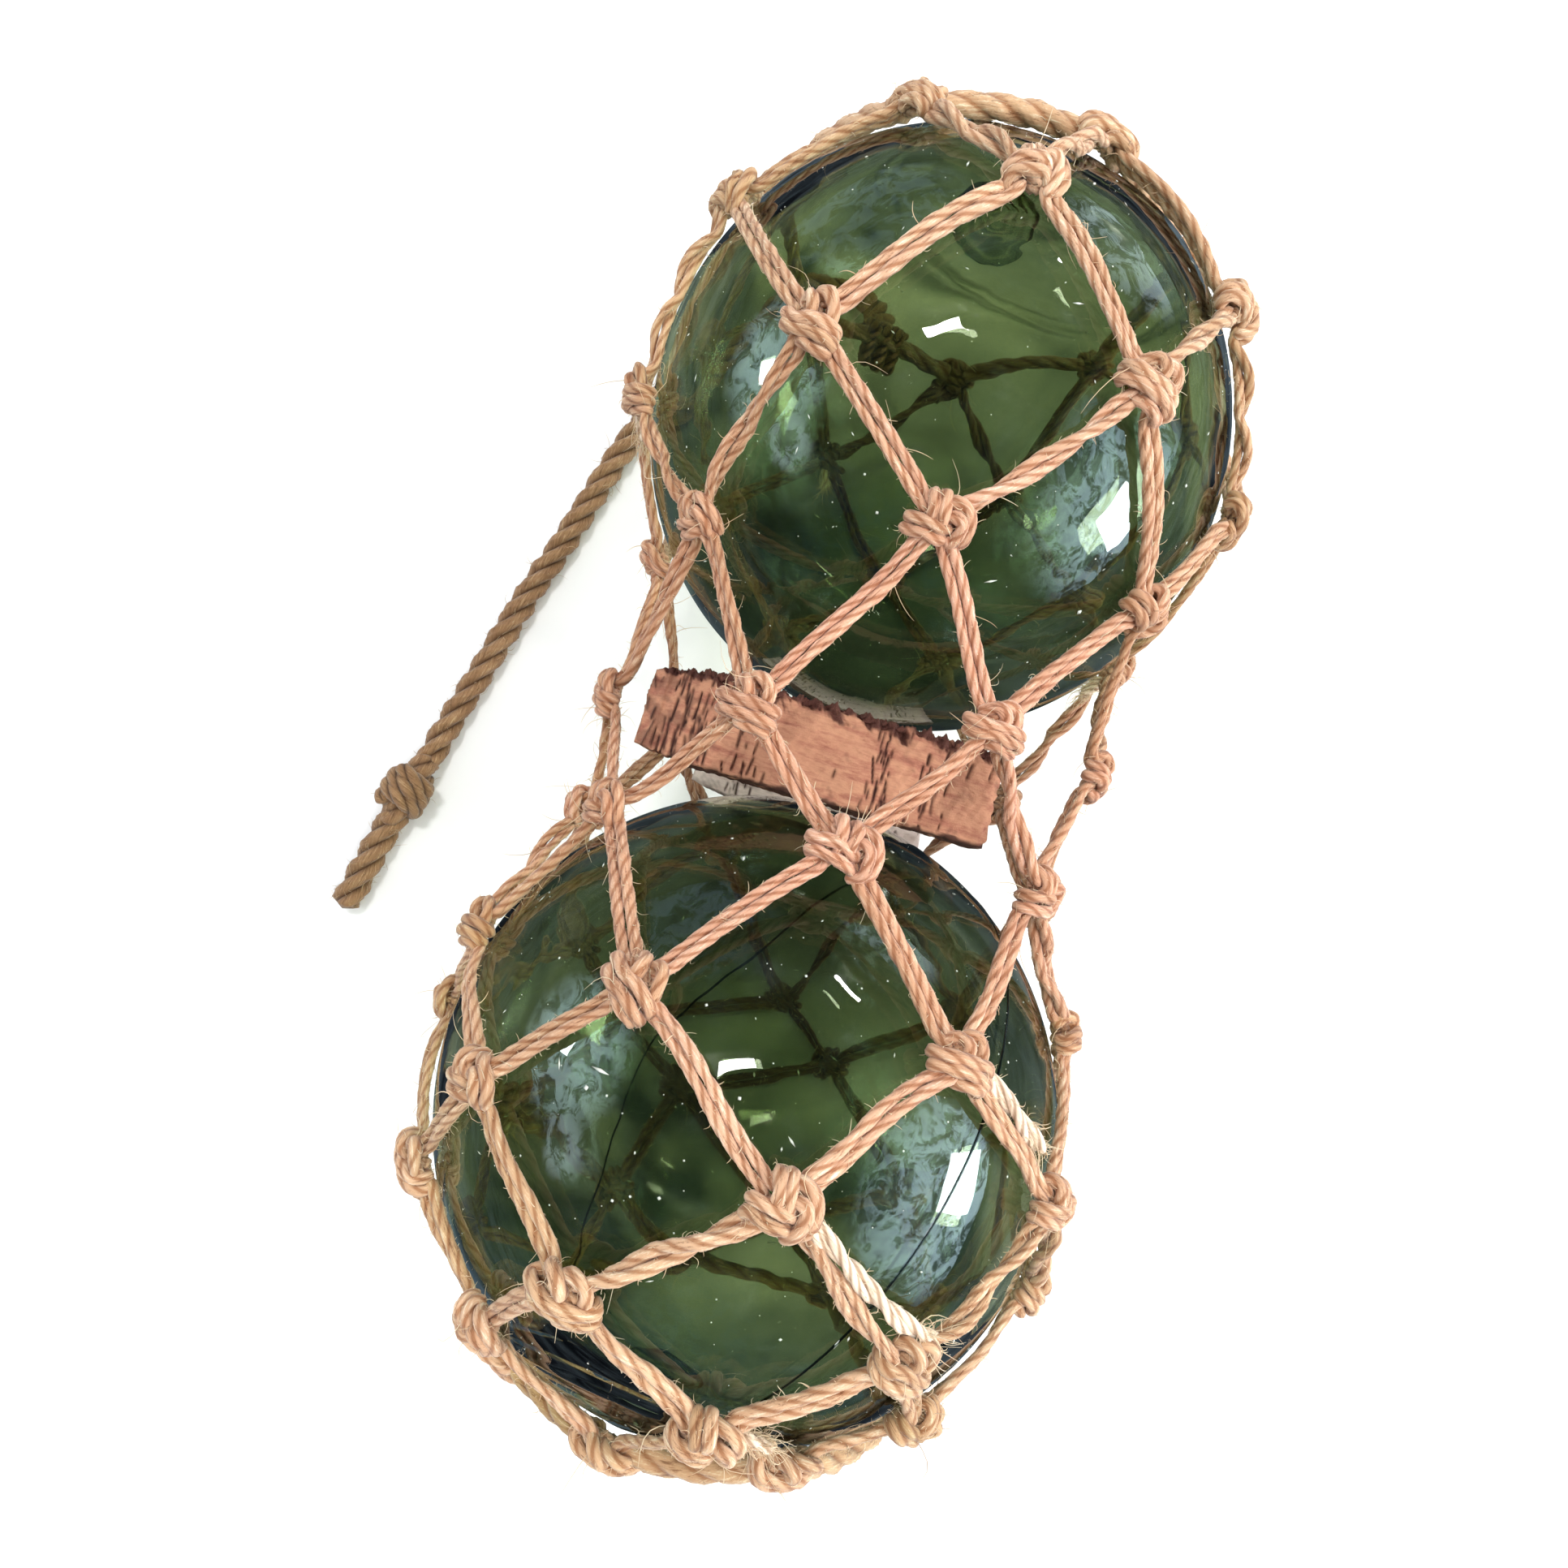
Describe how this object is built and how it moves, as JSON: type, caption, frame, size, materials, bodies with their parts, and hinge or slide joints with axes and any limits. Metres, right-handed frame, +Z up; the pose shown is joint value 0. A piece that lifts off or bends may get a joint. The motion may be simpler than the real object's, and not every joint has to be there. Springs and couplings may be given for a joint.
{
  "type": "bobber float",
  "caption": "Pair of hollow green glass net floats end to end in a knotted diamond-mesh twine net, with cork slabs at the waist and a short rope tail.",
  "frame": {"origin": "on the ground under the middle of the net, halfway between the two floats", "axes": "+Y along the net towards the float that carries the rope tail, +Z up from the ground, +X to the right seen from above"},
  "size_m": [0.3799, 0.58, 0.2739],
  "materials": {
    "green_glass": "gloss",
    "sisal_twine": "matte",
    "laid_rope": "matte",
    "cork": "matte"
  },
  "bodies": {
    "upper_net": {"upper_mouth_rope": "laid_rope", "net_knots_01": "sisal_twine", "net_knots_02": "sisal_twine", "net_knots_03": "sisal_twine", "net_knots_04": "sisal_twine", "net_knots_05": "sisal_twine", "net_bars_01_02": "sisal_twine", "net_bars_02_03": "sisal_twine", "net_bars_03_04": "sisal_twine", "net_bars_04_05": "sisal_twine", "net_bars_05_06": "sisal_twine", "tail_hitch": "laid_rope", "tail_rope": "laid_rope", "tail_stopper_knot": "laid_rope", "tail_rope_end": "laid_rope"},
    "lower_net": {"lower_mouth_rope": "laid_rope", "net_knots_06": "sisal_twine", "net_knots_07": "sisal_twine", "net_knots_08": "sisal_twine", "net_knots_09": "sisal_twine", "net_knots_10": "sisal_twine", "net_knots_11": "sisal_twine", "net_bars_06_07": "sisal_twine", "net_bars_07_08": "sisal_twine", "net_bars_08_09": "sisal_twine", "net_bars_09_10": "sisal_twine", "net_bars_10_11": "sisal_twine"},
    "upper_float": {"upper_glass_float": "green_glass", "upper_seal_button": "green_glass"},
    "lower_float": {"lower_glass_float": "green_glass", "lower_seal_button": "green_glass"},
    "front_cork": {"front_cork_slab": "cork"},
    "rear_cork": {"rear_cork_slab": "cork"}
  },
  "joints": [
    {"name": "waist_bend", "type": "hinge", "parent": "upper_net", "child": "lower_net", "pos_m": [0, 0, 0.133], "axis": [0, 0, 1], "range_deg": [-6, 6], "deforming": ["net_bars_05_06"]},
    {"name": "upper_float_turn", "type": "hinge", "parent": "upper_net", "child": "upper_float", "pos_m": [0, 0.146, 0.133], "axis": [0, 1, 0], "continuous": true},
    {"name": "lower_float_turn", "type": "hinge", "parent": "lower_net", "child": "lower_float", "pos_m": [0, -0.146, 0.133], "axis": [0, 1, 0], "continuous": true},
    {"name": "front_cork_shift", "type": "hinge", "parent": "upper_net", "child": "front_cork", "pos_m": [0, -0.007, 0.133], "axis": [0, 1, 0], "range_deg": [-4, 4]},
    {"name": "rear_cork_shift", "type": "hinge", "parent": "upper_net", "child": "rear_cork", "pos_m": [0, -0.007, 0.133], "axis": [0, 1, 0], "range_deg": [-4, 4]}
  ]
}
